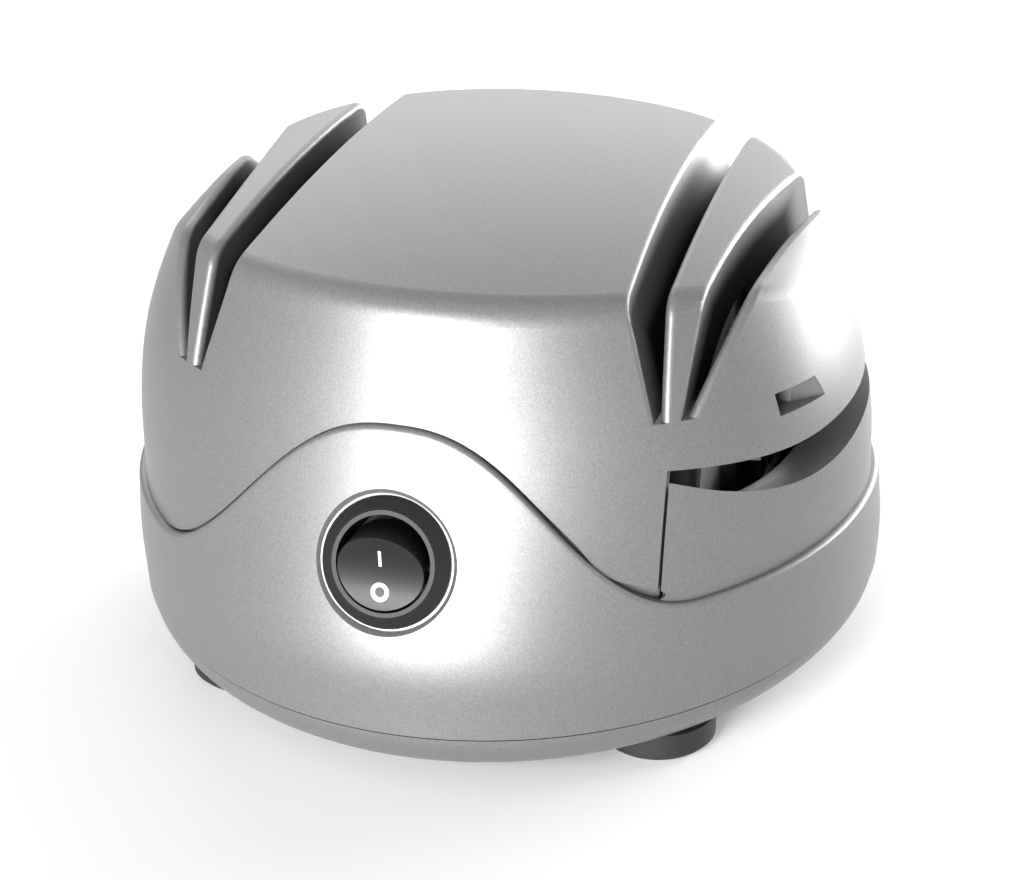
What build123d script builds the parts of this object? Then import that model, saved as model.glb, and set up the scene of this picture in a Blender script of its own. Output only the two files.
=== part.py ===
from build123d import *
import os
from math import cos, pi, sin

os.makedirs("parts", exist_ok=True)

# Electric knife sharpener, in millimetres. +Z is up, -Y is the side with the switch, +X is the fine side.
# The origin is on the table, under the middle of the casing.

# ---- casing ------------------------------------------------------------------------------------
half_width = 76.2        # at the bulge of the lower housing
front_reach = 85.8       # from the widest line to the front
back_reach = 66.5        # from the widest line to the back
widest_y = (front_reach - back_reach) / 2
contour_points = 24

foot_height = 6.0        # table to the underside of the base plate
base_top = 15.6          # rim of the base plate
seam_gap = 0.4           # base plate to lower housing
side_seam = 38.0         # top of the lower housing round the sides
seam_rise = 33.0         # how far its front climbs over the switch
seam_half = 53.0         # half the width of that climb
seam_crest = 1.25        # 1 for a plain cosine; more makes the top of the climb broader
crown_top = 101.0        # highest point of the top
crown_y = 19.65          # where it lies
crown_radius = 330.0     # front to back curve of the top
crown_half = 0.656 * half_width
crown_fall = 4.4         # how far the top has fallen at crown_half, as a parabola
shoulder_fall = 1.0      # and how far more, steeply
shoulder_power = 8
crown_skew = 0.006       # both falls grow by this share for each millimetre to the front
rim_round = 6.0          # top to side

wall = 2.4
ledge = 1.4              # upper housing stands inside the lower one
fit_gap = 0.3            # between pieces that slot together
lap = 3.0                # depth of the lapped joints
base_floor = 2.2
lip_wall = 1.6

# height, then how far the side, front and back stand in from the widest contour, and how far the
# widest line moves forward
lower_start = base_top + seam_gap
LEVELS = [
    (lower_start, 0.3, 0.3, 0.5, -2.0),
    (22.0, 0.0, 0.1, 0.15, -1.5),
    (27.0, 0.0, 0.0, 0.0, -0.4),
    (39.0, 0.8, 2.4, 1.0, 3.0),
    (50.0, 1.0, 5.8, 2.7, 6.4),
    (60.0, 2.1, 8.8, 6.2, 9.1),
    (72.0, 4.9, 12.2, 10.7, 10.4),
    (84.0, 9.3, 15.6, 15.7, 8.7),
    (92.0, 12.4, 17.4, 19.7, 7.7),
    (104.0, 17.1, 20.5, 27.0, 6.3),
]
# the base plate curves in under the casing
BASE_LEVELS = [
    (foot_height, 9.0, 9.0, 9.0, -2.0),
    (foot_height + 3.4, 3.8, 3.8, 3.8, -2.0),
    (foot_height + 7.0, 1.2, 1.2, 1.2, -2.0),
    (base_top, 0.6, 0.6, 0.6, -2.0),
]

# ---- grinding wheels and shaft -----------------------------------------------------------------
shaft_y = -2.5
shaft_z = 46.5
shaft_radius = 3.0
wheel_x = half_width - 30.9  # middle of each wheel, left and right
wheel_radius = 33.0
wheel_width = 6.0
wheel_edge = 0.6
wheel_gap = 1.2          # wheel to housing

# ---- knife slots -------------------------------------------------------------------------------
slot_floor = 70.8
fin_half = 1.75          # half the fin between the two slots, at the slot floor
slot_mouth = 0.8         # slot width at the floor
plate_lean = 0.31        # how far the walls lean for each millimetre of height
fin_inner_lean = 0.075
fin_outer_lean = 0.06
ear_lean = 0.35
outer_bend_y = -40.0     # the outer slot runs straight up to here and then bends outward
outer_bend_radius = 350.0
slot_round = 1.2

# ---- scissors guide and screwdriver hole -------------------------------------------------------
panel_x = wheel_x + 0.8  # front and back ends of the panel
panel_slope = 0.35       # the funnel falls inward by this much for each millimetre
panel_depth = 11.0       # how deep the funnel goes in
panel_gap = 0.5          # panel to upper housing at the ends
overhang_shelf = 9.0     # how deep the roof of the scissors slot goes in
# height of the panel's top edge and of the upper housing's edge over it, along the flank
PANEL_EDGE = [(-56, 63.5), (-50, 60.0), (-45, 57.1), (-38, 54.7), (-26, 53.1), (-14, 53.9), (-2, 55.6)]
PANEL_EDGE += [(12, 56.9), (28, 58.3), (44, 60.4), (62, 64.0)]
OVERHANG_EDGE = [(-100, 72.0), (-70, 65.5), (-50, 62.5), (-38, 61.2), (-28, 60.9), (-14, 61.7), (5, 63.0)]
OVERHANG_EDGE += [(30, 64.8), (62, 68.0), (100, 73.0)]
driver_y = -28.4         # middle of the screwdriver hole
driver_z = 69.2
driver_width = 6.8
driver_height = 4.2
driver_flare = 3.0       # how far the hole widens to the back at the surface
chute_wall = 1.8

# ---- switch ------------------------------------------------------------------------------------
switch_z = 47.8
switch_tilt = 18.0       # the wall leans back here
seat_depth = 1.5
flange_radius = 11.9
flange_edge = 0.5
flange_height = 2.2
bezel_radius = 9.7
bezel_rim = 9.55
bezel_depth = 14.0
bezel_floor = 7.0
seat_radius = 12.4
seat_pad = 15.0
rocker_half = 8.0        # half its width along the pivot
rocker_length = 7.0      # and across it
rocker_gap = 0.75
rocker_crest = 5.3       # its two raised edges above the pivot
rocker_dip = 1.4         # how far its middle lies below them
rocker_base = 2.9        # its underside below the pivot
rocker_swing = 32.0
pivot_depth = 0.5
pivot_radius = 1.2
pivot_reach = 9.3
run_gap = 0.05           # turning fit, on the radius
terminal_width = 6.3
terminal_thickness = 0.8
terminal_length = 8.0
terminal_pitch = 5.0

# ---- feet, screws, cord inlet ------------------------------------------------------------------
foot_x = half_width - 34.2
foot_y = 36.5
foot_radius = 11.5
foot_edge = 1.2
foot_stem = 2.4
foot_head = 3.6
boss_x = 30.0
front_boss_y = -44.0
back_boss_y = 42.0
boss_radius = 4.2
boss_start = 24.0
tower_wall = 1.8
screw_radius = 1.9
screw_head_radius = 3.8
screw_head_height = 2.4
screw_length = 18.0
screw_shelf = 4.0        # what each screw head bears on
screw_drive = 1.0
inlet_z = 27.0
inlet_radius = 3.4
grommet_wall = 1.6
grommet_lip = 1.4
grommet_flange = 6.4
flange_recess = 1.0
inlet_thick = 4.0
vent_width = 2.4
vent_length = 26.0
vent_pitch = 6.0
vents = 7

# ---- motor -------------------------------------------------------------------------------------
core_y = 52.0            # lamination stack, across
core_z = 46.0
core_x = 20.0
core_round = 6.0
bore_radius = 13.6
air_gap = 0.5
coil_inner_y = 10.0      # neck of each pole
coil_outer_y = 18.0
coil_low = 12.0
coil_high = 18.5
coil_gap = 0.2
coil_end = 5.0           # past the stack at each end
slots = 12
slot_width = 2.4
slot_depth = 4.7
bar_depth = 4.3
winding_radius = 11.5
winding_length = 5.5
commutator_x = 17.0
commutator_length = 8.0
commutator_bars = 12
bar_slit = 0.5
commutator_radius = 8.0
brush_side = 5.0
brush_length = 8.0
holder_wall = 0.8
holder_start = 9.5
spring_wire = 0.35
spring_radius = 1.8
spring_pitch = 1.6
bracket_x = 30.0         # inside of each bracket's arm
bracket_thick = 2.0
bracket_width = 14.0
post_y = 22.5
post_thick = 5.0
post_width = 10.0
housing_radius = 8.0
bearing_x = 28.0
bearing_radius = 5.0
bearing_length = 8.0
motor_screw_radius = 1.5
motor_screw_head = 2.8
fan_radius = 19.0
fan_blades = 9
fan_x = 18.0
fan_length = 8.0
fan_plate = 1.2
hub_flange = 14.0
hub_flange_thick = 2.0
hub_sleeve = 6.0
hub_start = bearing_x + bearing_length + 0.2
spigot_radius = 8.0
washer_radius = 12.0
washer_thick = 1.5
nut_across = 10.0
nut_thick = 5.0
shaft_end = 1.5          # beyond each nut
tray_wall = 1.6
tray_in = 10.0           # middle of the wheel to the outside of the tray
tray_out = 9.6
tray_radius = 37.0
tray_drop = 9.0          # its rim under the middle of the shaft
cradle_y = 14.0
cradle_z = 14.0
pillar_x = 10.0
pillar_y = 38.0
damper_radius = 5.0
damper_height = 3.0
mount_x = 15.0
mount_y = 44.0
mount_thick = 1.5
tab_x = core_x / 2 + mount_thick / 2
mount_screw_length = 12.0
capacitor = (18.0, 8.0, 14.0)
terminals = (18.0, 8.0, 10.0)
back_row_y = 46.0        # capacitor and terminal block stand from here
wire_radius = 1.1
COIL_BENDS = [(10.4, 47.0, 36.5), (12.5, 32.0, 52.5)]  # terminal block to coil
SWITCH_BENDS = [(-24.0, -28.0, 24.0), (-24.0, 10.0, 20.0), (-20.0, 38.0, 26.0)]  # switch to capacitor
switch_bend = (-12.0, 7.0, -6.0)  # the first bend of that wire, from the switch's terminal


def ring(level, grow):
    """Points of one plan contour: half an ellipse in front of the widest line and half behind it.

    They start one step past the middle of the back, so the form's seam line runs clear of every hole."""
    height, side, front, back, shift = level
    points = []
    for step in range(1, contour_points + 1):
        turn = 2 * pi * step / contour_points
        behind = cos(turn) > 0
        reach = back_reach - back + shift if behind else front_reach - front - shift
        across = (half_width - side + grow) * sin(turn)
        along = widest_y - shift + (reach + grow) * cos(turn)
        points.append((across, along))
    return points


def contour_form(levels, grow):
    """Solid through the plan contours, grown outward all round."""
    with BuildPart() as form:
        for level in levels:
            with BuildSketch(Plane.XY.offset(level[0])):
                with BuildLine():
                    Spline(*ring(level, grow), periodic=True)
                make_face()
        loft()
    return form.part


def crown_form(drop):
    """Everything under the arched top, lowered by drop."""
    reach = 1.05 * half_width
    with BuildPart() as form:
        for y in (-100, -60, -20, 20, 60, 100):
            middle = crown_top - drop - (y - crown_y) ** 2 / (2 * crown_radius)
            skew = 1 - crown_skew * y
            points = []
            for step in range(-8, 9):
                x = reach * step / 8
                share = abs(x) / crown_half
                fall = crown_fall * share**2 + shoulder_fall * share**shoulder_power
                points.append((x, middle - skew * fall))
            with BuildSketch(Plane.XZ.offset(-y)):
                with BuildLine():
                    Spline(*points)
                    Polyline(points[-1], (reach, -crown_top), (-reach, -crown_top), points[0])
                make_face()
        loft()
    return form.part


def below_seam(raise_by):
    """Everything under the joint between the housings, with its climb at the front."""
    low = side_seam + raise_by
    wave = []
    for step in range(-8, 9):
        x = seam_half * step / 8
        wave.append((x, low + seam_rise * (1 - ((1 - cos(pi * x / seam_half)) / 2) ** seam_crest)))
    with BuildPart() as form:
        with BuildSketch(Plane.XZ):
            with BuildLine():
                Spline(*wave, tangents=((1, 0), (1, 0)))
                Polyline(wave[-1], (2 * half_width, low), (2 * half_width, -10))
                Polyline((2 * half_width, -10), (-2 * half_width, -10), (-2 * half_width, low), wave[0])
            make_face()
        extrude(amount=2 * front_reach)
        with BuildSketch(Plane.XY.offset(-10)):
            with Locations((0, back_reach)):
                Rectangle(4 * half_width, 2 * back_reach)
        extrude(amount=low + 10)
    return form.part


def inner_slot(extra):
    """Room between the top plate and the fin on the right, with its walls moved out by extra."""
    low = slot_floor - extra
    high = crown_top + 10
    plate = wheel_x - fin_half - slot_mouth
    fin = wheel_x - fin_half
    with BuildPart() as form:
        with BuildSketch(Plane.XZ):
            with BuildLine():
                Polyline(
                    (plate - extra + plate_lean * extra, low),
                    (fin + extra + fin_inner_lean * extra, low),
                    (fin + extra - fin_inner_lean * (high - slot_floor), high),
                    (plate - extra - plate_lean * (high - slot_floor), high),
                    close=True,
                )
            make_face()
        extrude(amount=2 * front_reach, both=True)
    return form.part


def outer_slot(extra):
    """Room between the fin and the outer shoulder on the right, bending outward to the back."""
    low = slot_floor - extra
    high = crown_top + 10
    fin = wheel_x + fin_half
    ear = fin + slot_mouth
    with BuildPart() as form:
        with BuildSketch(Plane.XZ.offset(2 * front_reach)):
            with BuildLine():
                Polyline(
                    (fin - extra - fin_outer_lean * extra, low),
                    (ear + extra - ear_lean * extra, low),
                    (ear + extra + ear_lean * (high - slot_floor), high),
                    (fin - extra + fin_outer_lean * (high - slot_floor), high),
                    close=True,
                )
            make_face()
        with BuildLine():
            straight = Line((fin, -2 * front_reach), (fin, outer_bend_y))
            JernArc(straight @ 1, (0, 1), outer_bend_radius, -20)
        sweep()
    return form.part


def flank(y):
    """Where the side of the upper housing lies at y, at the height of the panel's edge."""
    side, front, back, shift = LEVELS[5][1:]
    middle = widest_y - shift
    reach = (back_reach - back + shift if y > middle else front_reach - front - shift) - ledge
    share = max(0, 1 - ((y - middle) / reach) ** 2)
    return (half_width - side - ledge) * share**0.5


def under_panel_edge(drop):
    """Everything under the sloping funnel of the scissors guide, lowered by drop."""
    line = [(y, z - drop - panel_slope * (flank(y) - panel_x)) for y, z in PANEL_EDGE]
    with BuildPart() as form:
        with BuildSketch(Plane.YZ.offset(panel_x)):
            with BuildLine():
                Spline(*line)
                Polyline(line[-1], (line[-1][0], 10), (line[0][0], 10), line[0])
            make_face()
        extrude(amount=2 * half_width, dir=Vector(1, 0, panel_slope))
    return form.part


def under_overhang(start_x, lift):
    """Everything under the upper housing's edge over the scissors guide, from start_x outward."""
    line = [(y, z + lift) for y, z in OVERHANG_EDGE]
    with BuildPart() as form:
        with BuildSketch(Plane.YZ.offset(start_x)):
            with BuildLine():
                Spline(*line)
                Polyline(line[-1], (line[-1][0], 0), (line[0][0], 0), line[0])
            make_face()
        extrude(amount=half_width)
    return form.part


def tube(low, high, outer, inner, place):
    """Ring or rod along the normal of place, from low to high."""
    with BuildPart(place.offset(low)) as form:
        Cylinder(outer, high - low, align=UP)
        if inner > 0:
            Cylinder(inner, high - low, align=UP, mode=Mode.SUBTRACT)
    return form.part


def block(x, y, z):
    """Box from three (low, high) pairs."""
    with BuildPart(Plane((x[0], y[0], z[0]))) as form:
        Box(x[1] - x[0], y[1] - y[0], z[1] - z[0], align=(Align.MIN, Align.MIN, Align.MIN))
    return form.part


def front_wall(height):
    """Where the front of the lower housing lies at one height."""
    for under, over in zip(LEVELS, LEVELS[1:]):
        if under[0] <= height <= over[0]:
            share = (height - under[0]) / (over[0] - under[0])
            return widest_y - front_reach + under[2] + share * (over[2] - under[2])


def save(piece, name):
    piece.part.label = name
    export_step(piece.part, f"parts/{name}.step")


UP = (Align.CENTER, Align.CENTER, Align.MIN)
SHAFT = Plane((0, shaft_y, shaft_z), x_dir=(0, 1, 0), z_dir=(1, 0, 0))
ENDS = [Plane(SHAFT.origin, x_dir=(0, 1, 0), z_dir=(-1, 0, 0)), SHAFT]
switch_normal = Vector(0, -1, 0).rotate(Axis.X, -switch_tilt)
switch_wall = Vector(0, front_wall(switch_z), switch_z)
SEAT = Plane(switch_wall - switch_normal * seat_depth, x_dir=(1, 0, 0), z_dir=switch_normal)
INLET = Plane((0, widest_y + back_reach, inlet_z), x_dir=(1, 0, 0), z_dir=(0, -1, 0))

casing_outer = contour_form(LEVELS, 0)
casing_inner = contour_form(LEVELS, -wall)
upper_outer = contour_form(LEVELS, -ledge)
upper_inner = contour_form(LEVELS, -ledge - wall)
tongue_outer = contour_form(LEVELS, -wall - fit_gap)
funnel_inner = contour_form(LEVELS, -ledge - panel_depth)
shelf_inner = contour_form(LEVELS, -ledge - overhang_shelf)
crown_outer = crown_form(0)
crown_inner = crown_form(wall)
seam = below_seam(0)
seam_low = below_seam(-lap)
overhang = under_overhang(panel_x - panel_gap, 0)
overhang_roof = under_overhang(panel_x - panel_gap, wall)
panel_room = under_overhang(panel_x, -panel_gap)
panel_edge = under_panel_edge(0)
panel_under = under_panel_edge(wall)
voids = [inner_slot(0), outer_slot(0)]
liners = [inner_slot(wall), outer_slot(wall)]
voids += [mirror(void, about=Plane.YZ) for void in voids]
liners += [mirror(liner, about=Plane.YZ) for liner in liners]
pockets = []
for side in (-1, 1):
    half = wheel_width / 2 + wheel_gap
    pockets.append(tube(side * wheel_x - half, side * wheel_x + half, wheel_radius + wheel_gap, 0, SHAFT))
boss_places = [(x, y) for x in (-boss_x, boss_x) for y in (front_boss_y, back_boss_y)]
bosses = [tube(0, 2 * crown_top, boss_radius, 0, Plane((x, y, 0))) for x, y in boss_places]
boss_ends = [tube(boss_start, crown_top, boss_radius + 1, 0, Plane((x, y, 0))) for x, y in boss_places]

# ---- upper housing: one ABS moulding, the knife slots notched through its top --------------------
driver_start = wheel_x + wheel_width / 2 + wheel_gap - fit_gap
flare_start = flank(driver_y) - driver_flare
chute_y = driver_width / 2 + chute_wall
chute_z = driver_height / 2 + chute_wall
driver_low = driver_y - driver_width / 2
driver_high = driver_y + driver_width / 2
flare_end = driver_high + 2 * half_width - flare_start
chute = block(
    (wheel_x + wheel_width / 2 + 2 * wheel_gap, half_width),
    (driver_y - chute_y, driver_y + chute_y + driver_flare),
    (driver_z - chute_z, driver_z + chute_z),
)

shelf_low = min(z for y, z in OVERHANG_EDGE) - lap
with BuildPart() as shelf:
    add(overhang_roof)
    add(shelf_inner, mode=Mode.SUBTRACT)
    split(bisect_by=Plane.XY.offset(shelf_low), keep=Keep.TOP)

with BuildPart() as cavity:
    add(upper_inner)
    add(crown_inner, mode=Mode.INTERSECT)
    add(liners + bosses + [chute, shelf.part], mode=Mode.SUBTRACT, clean=False)

with BuildPart() as skirt_cut:
    add(seam)
    add(tongue_outer, mode=Mode.SUBTRACT, clean=False)

with BuildPart() as floor_cut:
    add(seam_low)
    add(boss_ends, mode=Mode.SUBTRACT, clean=False)

with BuildPart(Plane.XY.offset(boss_start)) as screw_holes:
    with Locations(boss_places):
        Cylinder(screw_radius + run_gap, screw_length, align=UP)

with BuildPart() as upper_moulding:
    add(upper_outer)
    add(crown_outer, mode=Mode.INTERSECT)
    fillet(faces().sort_by(Axis.Z)[-1].edges(), rim_round)
    for void in voids:
        add(void, mode=Mode.SUBTRACT, clean=False)
    slot_walls = faces().filter_by(
        lambda f: abs(f.normal_at().X) > 0.85 and abs(f.center().X) < wheel_x + 4 * fin_half
    )
    rims = slot_walls.edges().filter_by(lambda e: e.bounding_box().max.Z > slot_floor + run_gap)
    fillet(rims, slot_round)
    for cut in [skirt_cut.part, floor_cut.part, overhang, cavity.part] + pockets:
        add(cut, mode=Mode.SUBTRACT, clean=False)
    with BuildSketch(Plane.XY.offset(driver_z - driver_height / 2)):
        with BuildLine():
            Polyline(
                (driver_start, driver_low),
                (2 * half_width, driver_low),
                (2 * half_width, flare_end),
                (flare_start, driver_high),
                (driver_start, driver_high),
                close=True,
            )
        make_face()
    extrude(amount=driver_height, mode=Mode.SUBTRACT, clean=False)
    add(screw_holes.part, mode=Mode.SUBTRACT, clean=False)

# the cuts leave a crumb by the window, which isn't part of the moulding
with BuildPart() as upper_housing:
    add(upper_moulding.solids().sort_by(SortBy.VOLUME)[-1])
save(upper_housing, "upper_housing")

# ---- lower housing: its top edge is the ledge along the wave --------------------------------------
pad = tube(-lap, lap, seat_pad, 0, SEAT)
inlet_pad = tube(0, inlet_thick, grommet_flange + wall, 0, INLET)
with BuildPart() as lower_room:
    add(casing_inner)
    add([pad, inlet_pad], mode=Mode.SUBTRACT, clean=False)

with BuildPart() as lower_holes:
    with Locations(SEAT):
        Cylinder(seat_radius, 4 * seat_depth, align=UP)
        Cylinder(bezel_radius + fit_gap, 4 * lap)
    with Locations(INLET):
        Cylinder(grommet_flange + fit_gap, 2 * flange_recess)
        Cylinder(inlet_radius + grommet_wall, 4 * inlet_thick)

with BuildPart() as lower_housing:
    add(casing_outer)
    add(seam, mode=Mode.INTERSECT, clean=False)
    add(lower_room.part, mode=Mode.SUBTRACT, clean=False)
    add(lower_holes.part, mode=Mode.SUBTRACT, clean=False)
save(lower_housing, "lower_housing")

# ---- scissors guide panel: curved insert with its funnel floor -----------------------------------
with BuildPart() as panel_hollow:
    add(upper_inner)
    add(panel_under, mode=Mode.INTERSECT, clean=False)

with BuildPart() as scissors_guide_panel:
    add(upper_outer)
    for cut in (skirt_cut.part, seam_low):
        add(cut, mode=Mode.SUBTRACT, clean=False)
    for room in (panel_room, panel_edge):
        add(room, mode=Mode.INTERSECT, clean=False)
    for cut in (panel_hollow.part, funnel_inner, pockets[1]):
        add(cut, mode=Mode.SUBTRACT, clean=False)
save(scissors_guide_panel, "scissors_guide_panel")

# ---- base plate --------------------------------------------------------------------------------
INSIDE_LEVELS = [(level[0] + base_floor, *level[1:]) for level in BASE_LEVELS]
LIP_LEVELS = [(height, *LEVELS[0][1:]) for height in (base_top - lap, base_top + lap)]
base_outer = contour_form(BASE_LEVELS, 0)
base_inner = contour_form(INSIDE_LEVELS, -wall - fit_gap - lip_wall)
lip_outer = contour_form(LIP_LEVELS, -wall - fit_gap)
lip_inner = contour_form(LIP_LEVELS, -wall - fit_gap - lip_wall)
floor_top = foot_height + base_floor
deck = shaft_z - core_z / 2 - mount_thick
foot_places = [(x, y) for x in (-foot_x, foot_x) for y in (-foot_y, foot_y)]
pillar_places = [(x, shaft_y + y) for x in (-pillar_x, pillar_x) for y in (-pillar_y, pillar_y)]
with BuildPart(Plane.XY.offset(foot_height)) as base_posts:
    with Locations(boss_places):
        Cylinder(screw_head_radius + tower_wall, boss_start - foot_height, align=UP)
    with Locations(pillar_places):
        Cylinder(damper_radius, deck - damper_height - foot_height, align=UP)
    with Locations((-wheel_x, shaft_y), (wheel_x, shaft_y)):
        Box(tray_in + tray_out + 2 * tray_wall, 2 * cradle_y, cradle_z - foot_height, align=UP)

vent_rows = [(0, shaft_y + (step - vents // 2) * vent_pitch) for step in range(vents)]
with BuildPart() as base_cuts:
    with Locations(Plane.XY.offset(foot_height)):
        with Locations(foot_places):
            Cylinder(foot_stem, 2 * base_floor, align=UP)
        with Locations(boss_places):
            Cylinder(screw_head_radius + fit_gap, boss_start - foot_height - screw_shelf, align=UP)
            Cylinder(screw_radius + run_gap, boss_start, align=UP)
        with Locations(vent_rows):
            Box(vent_length, vent_width, 2 * base_floor, align=UP)
    with Locations(Plane.XY.offset(deck - damper_height)):
        with Locations(pillar_places):
            Cylinder(motor_screw_radius + run_gap, 2 * (mount_screw_length - mount_thick - damper_height))
    with Locations(*[END.offset(wheel_x - tray_in) for END in ENDS]):
        Cylinder(tray_radius, tray_in + tray_out, align=UP)

with BuildPart() as base_plate:
    add(base_outer)
    add(base_inner, mode=Mode.SUBTRACT, clean=False)
    add(lip_outer, clean=False)
    add(lip_inner, mode=Mode.SUBTRACT, clean=False)
    add(base_posts.part, clean=False)
    add(base_cuts.part, mode=Mode.SUBTRACT, clean=False)
save(base_plate, "base_plate")

# ---- rubber feet, each with a stem through the base plate and a head above it ---------------------
for x, y in foot_places:
    with BuildPart(Plane((x, y, 0))) as rubber_foot:
        Cylinder(foot_radius, foot_height, align=UP)
        chamfer(faces().sort_by(Axis.Z)[0].edges(), foot_edge)
        with Locations((0, 0, foot_height)):
            Cylinder(foot_stem, base_floor, align=UP)
        with Locations((0, 0, floor_top)):
            Cylinder(foot_head, foot_stem, align=UP)
    name = ("front" if y < 0 else "back") + ("_left" if x < 0 else "_right")
    save(rubber_foot, "rubber_foot_" + name)

# ---- housing screws, up through the towers into the long bosses ----------------------------------
with BuildPart() as housing_screws:
    with Locations(Plane.XY.offset(boss_start - screw_shelf)):
        with Locations(boss_places):
            Cylinder(screw_radius, screw_length, align=UP)
            Cylinder(screw_head_radius, screw_head_height, align=(Align.CENTER, Align.CENTER, Align.MAX))
    with Locations(Plane.XY.offset(boss_start - screw_shelf - screw_head_height)):
        with Locations(boss_places):
            Box(4 * screw_drive, screw_drive, 2 * screw_drive, mode=Mode.SUBTRACT)
            Box(screw_drive, 4 * screw_drive, 2 * screw_drive, mode=Mode.SUBTRACT)
save(housing_screws, "housing_screws")

# ---- cord grommet in the back wall ---------------------------------------------------------------
with BuildPart(INLET.offset(fit_gap / 2)) as cord_grommet:
    Cylinder(grommet_flange, flange_recess - fit_gap / 2, align=UP)
    Cylinder(inlet_radius + grommet_wall, inlet_thick, align=UP)
    with Locations((0, 0, inlet_thick - fit_gap / 2)):
        Cylinder(grommet_flange, grommet_lip, align=UP)
    Cylinder(inlet_radius, 4 * inlet_thick, mode=Mode.SUBTRACT)
save(cord_grommet, "cord_grommet")

# ---- rocker switch ---------------------------------------------------------------------------------
opening = rocker_half + rocker_gap
pivot = SEAT.origin - switch_normal * pivot_depth
rest_normal = switch_normal.rotate(Axis.X, rocker_swing / 2)
with BuildPart() as switch_body:
    with BuildSketch(Plane(SEAT.origin, x_dir=(1, 0, 0), z_dir=Vector(1, 0, 0).cross(switch_normal))):
        with BuildLine():
            Polyline(
                (opening, flange_height),
                (bezel_rim, flange_height),
                (flange_radius, flange_edge),
                (flange_radius, 0),
                (bezel_radius, 0),
                (bezel_radius, -bezel_depth),
                (0, -bezel_depth),
                (0, -bezel_floor),
                (opening, -bezel_floor),
                close=True,
            )
        make_face()
    revolve(axis=Axis(SEAT.origin, switch_normal))
    with Locations(Plane(pivot, x_dir=(0, 1, 0), z_dir=(1, 0, 0))):
        Cylinder(pivot_radius + run_gap, 2 * (pivot_reach + run_gap), mode=Mode.SUBTRACT)
save(switch_body, "switch_body")

with BuildPart() as switch_rocker:
    with BuildSketch(Plane(pivot, x_dir=Vector(1, 0, 0).cross(rest_normal) * -1, z_dir=(1, 0, 0))):
        with BuildLine():
            ends = [(-rocker_length, rocker_crest), (rocker_length, rocker_crest)]
            ThreePointArc(ends[0], (0, rocker_crest - rocker_dip), ends[1])
            Polyline(ends[1], (rocker_length, -rocker_base), (-rocker_length, -rocker_base), ends[0])
        make_face()
    extrude(amount=rocker_half, both=True)
    with BuildSketch(Plane(pivot - rest_normal * rocker_half, x_dir=(1, 0, 0), z_dir=rest_normal)):
        Ellipse(rocker_half, rocker_length)
    extrude(amount=2 * rocker_half, mode=Mode.INTERSECT)
    with Locations(Plane(pivot, x_dir=(0, 1, 0), z_dir=(1, 0, 0))):
        Cylinder(pivot_radius, 2 * pivot_reach)
save(switch_rocker, "switch_rocker")

with BuildPart(SEAT.offset(-bezel_depth)) as switch_terminals:
    with Locations([(x, 0, 0) for x in (-terminal_pitch, 0, terminal_pitch)]):
        Box(
            terminal_thickness,
            terminal_width,
            terminal_length,
            align=(Align.CENTER, Align.CENTER, Align.MAX),
        )
save(switch_terminals, "switch_terminals")

# ---- motor: stator ---------------------------------------------------------------------------------
window_y = (coil_inner_y + coil_outer_y) / 2
window_z = (coil_low + coil_high) / 2
windows = [(y, z) for y in (-window_y, window_y) for z in (-window_z, window_z)]
with BuildPart(SHAFT.offset(-core_x / 2)) as stator_core:
    Box(core_y, core_z, core_x, align=UP)
    fillet(edges().filter_by(Axis.X), core_round)
    Cylinder(bore_radius, core_x, align=UP, mode=Mode.SUBTRACT)
    with Locations(windows):
        Box(coil_outer_y - coil_inner_y, coil_high - coil_low, core_x, align=UP, mode=Mode.SUBTRACT)
    with Locations((-post_y, 0), (post_y, 0)):
        Cylinder(motor_screw_radius, core_x, align=UP, mode=Mode.SUBTRACT)
save(stator_core, "stator_core")

with BuildPart(SHAFT) as field_coils:
    with Locations((0, -window_z), (0, window_z)):
        Box(2 * coil_outer_y - 2 * coil_gap, coil_high - coil_low - 2 * coil_gap, core_x + 2 * coil_end)
        Box(2 * coil_inner_y, coil_high, core_x, mode=Mode.SUBTRACT)
save(field_coils, "field_coils")

post_start = core_x / 2 + mount_thick
for END, name in zip(ENDS, ("left", "right")):
    with BuildPart(END) as motor_bracket:
        with Locations((0, 0, bracket_x)):
            Box(2 * post_y + post_thick, bracket_width, bracket_thick, align=UP)
        with Locations((-post_y, 0, post_start), (post_y, 0, post_start)):
            Box(post_thick, post_width, bracket_x - post_start, align=UP)
        with Locations((0, 0, bearing_x)):
            Cylinder(housing_radius, bearing_length, align=UP)
            Cylinder(bearing_radius, bearing_length, align=UP, mode=Mode.SUBTRACT)
        with Locations((-post_y, 0, 0), (post_y, 0, 0)):
            Cylinder(motor_screw_radius, 2 * bracket_x, align=UP, mode=Mode.SUBTRACT)
    save(motor_bracket, "motor_bracket_" + name)
    with BuildPart(END) as bearing:
        with Locations((0, 0, bearing_x)):
            Cylinder(bearing_radius, bearing_length, align=UP)
            Cylinder(shaft_radius + run_gap, bearing_length, align=UP, mode=Mode.SUBTRACT)
    save(bearing, "bearing_" + name)

with BuildPart(SHAFT.offset(-bracket_x - bracket_thick)) as motor_screws:
    with Locations((-post_y, 0), (post_y, 0)):
        Cylinder(motor_screw_radius, 2 * bracket_x + bracket_thick, align=UP)
        Cylinder(motor_screw_head, motor_screw_radius, align=(Align.CENTER, Align.CENTER, Align.MAX))
save(motor_screws, "motor_screws")

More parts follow.
